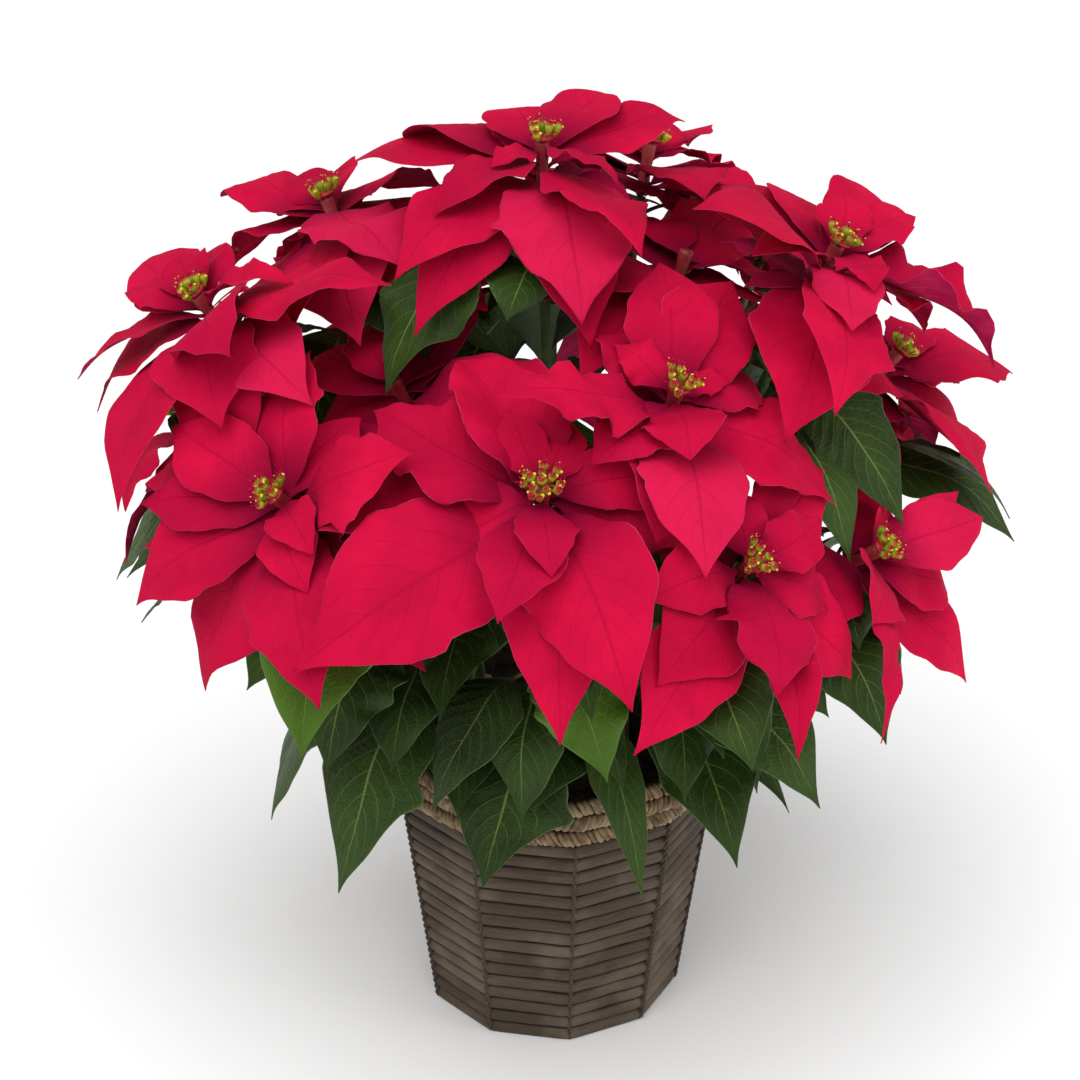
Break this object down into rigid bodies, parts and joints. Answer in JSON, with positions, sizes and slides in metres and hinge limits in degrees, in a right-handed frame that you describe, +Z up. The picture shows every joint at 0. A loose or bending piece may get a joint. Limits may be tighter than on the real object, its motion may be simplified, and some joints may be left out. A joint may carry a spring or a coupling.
{
  "type": "potted poinsettia",
  "caption": "Bushy red poinsettia rooted in a nursery pot of soil, standing in a faceted woven basket with a seagrass rim, for display on a table or floor.",
  "frame": {"origin": "middle of the basket's flat base, on the surface it stands on", "axes": "+Z up along the basket, -Y towards the side seen first, +X to that viewer's right"},
  "size_m": [0.5772, 0.5509, 0.5804],
  "materials": {
    "woven_strips": "dull brown lapped strips",
    "seagrass": "dry twisted seagrass",
    "corner_cord": "dark braided cord",
    "pot_plastic": "black nursery pot",
    "potting_soil": "peat soil",
    "leaf": "satin dark green leaf",
    "bract": "velvety crimson",
    "cyathia": "yellow-green with red tips"
  },
  "bodies": {
    "root": {"basket_body": "woven_strips", "basket_rim": "seagrass", "corner_cord_01": "corner_cord", "corner_cord_02": "corner_cord", "corner_cord_03": "corner_cord", "corner_cord_04": "corner_cord", "corner_cord_05": "corner_cord", "corner_cord_06": "corner_cord", "corner_cord_07": "corner_cord", "corner_cord_08": "corner_cord", "corner_cord_09": "corner_cord", "corner_cord_10": "corner_cord", "nursery_pot": "pot_plastic", "soil": "potting_soil", "plant_left": "leaf", "plant_right": "leaf", "plant_middle": "leaf", "bloom_01": "bract", "bloom_02": "bract", "bloom_03": "bract", "bloom_04": "bract", "bloom_05": "bract", "bloom_06": "bract", "bloom_07": "bract", "bloom_08": "bract", "bloom_09": "bract", "bloom_10": "bract", "bloom_11": "bract", "bloom_12": "bract", "bloom_13": "bract", "bloom_14": "bract", "bloom_15": "bract", "bloom_16": "bract", "bloom_17": "bract", "bloom_18": "bract", "bloom_19": "bract", "bloom_20": "bract", "cyathia_01": "cyathia", "cyathia_02": "cyathia", "cyathia_03": "cyathia", "cyathia_04": "cyathia", "cyathia_05": "cyathia", "cyathia_06": "cyathia", "cyathia_07": "cyathia", "cyathia_08": "cyathia", "cyathia_09": "cyathia", "cyathia_10": "cyathia", "cyathia_11": "cyathia", "cyathia_12": "cyathia", "cyathia_13": "cyathia", "cyathia_14": "cyathia", "cyathia_15": "cyathia", "cyathia_16": "cyathia", "cyathia_17": "cyathia", "cyathia_18": "cyathia"}
  },
  "joints": []
}
